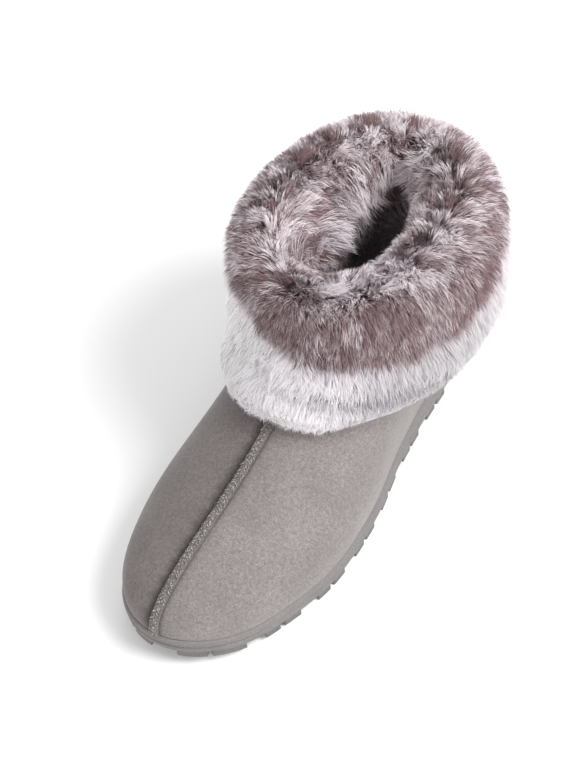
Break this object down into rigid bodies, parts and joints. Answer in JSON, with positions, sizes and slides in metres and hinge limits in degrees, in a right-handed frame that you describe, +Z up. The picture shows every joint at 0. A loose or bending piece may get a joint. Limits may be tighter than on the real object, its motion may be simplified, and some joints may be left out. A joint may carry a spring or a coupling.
{
  "type": "bootie slipper",
  "caption": "Left bootie slipper with a suede upper, raised centre seam, turned-down fur cuff, insole and lugged rubber sole.",
  "frame": {"origin": "on the floor, under the middle of the slipper's bounding box", "axes": "toe towards -Y, heel towards +Y, the little toe's side towards +X, +Z up"},
  "size_m": [0.1314, 0.2706, 0.1516],
  "materials": {
    "rubber": "matt moulded rubber with a fine pebbled texture",
    "fleece": "short brushed pile",
    "suede": "brushed microsuede with a soft mottled nap",
    "thread": "twisted light and dark thread over a suede ridge",
    "fur": "deep frosted faux fur, dark at the root and pale at the tip"
  },
  "bodies": {
    "root": {"outsole": "rubber", "insole": "fleece", "upper": "suede", "centre_seam": "thread", "fur_cuff": "fur"}
  },
  "joints": []
}
